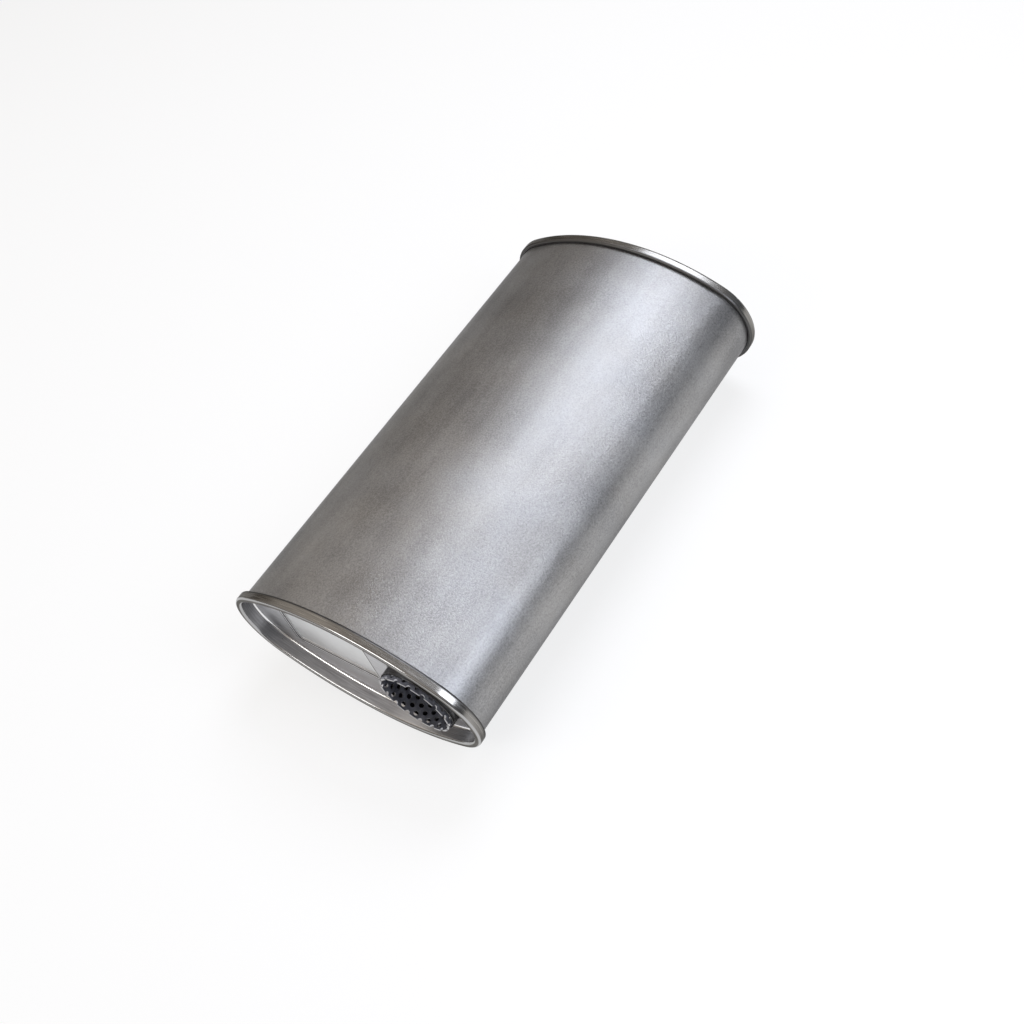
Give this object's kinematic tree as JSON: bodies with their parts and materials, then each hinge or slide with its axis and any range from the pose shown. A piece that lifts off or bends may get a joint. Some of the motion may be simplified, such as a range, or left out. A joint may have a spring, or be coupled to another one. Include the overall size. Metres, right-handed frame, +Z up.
{
  "type": "muffler",
  "caption": "Oval absorption silencer: rolled rims, recessed end plates, offset perforated inlet tube bending to a centred outlet neck, fibre packing round it.",
  "frame": {"origin": "Middle of the overall length, on the plane the two rims lie on, midway across the oval's long axis", "axes": "+X along the gas flow from the offset inlet to the centred outlet, +Y along the oval's long axis away from the inlet, +Z up along the short axis"},
  "size_m": [0.413, 0.22, 0.118],
  "materials": {
    "shell": "satin, finely grained rolled sheet",
    "cap": "bright sheet, polished at the rolled rim",
    "tube": "dark, dull perforated sheet",
    "neck": "satin drawn tube",
    "weld": "weld bead, slightly heat tinted",
    "packing": "long-strand mineral fibre mat"
  },
  "bodies": {
    "root": {"shell": "shell", "inlet_cap": "cap", "outlet_cap": "cap", "core_tube": "tube", "outlet_neck": "neck", "outlet_weld": "weld", "packing_upper": "packing", "packing_lower": "packing"}
  },
  "joints": []
}
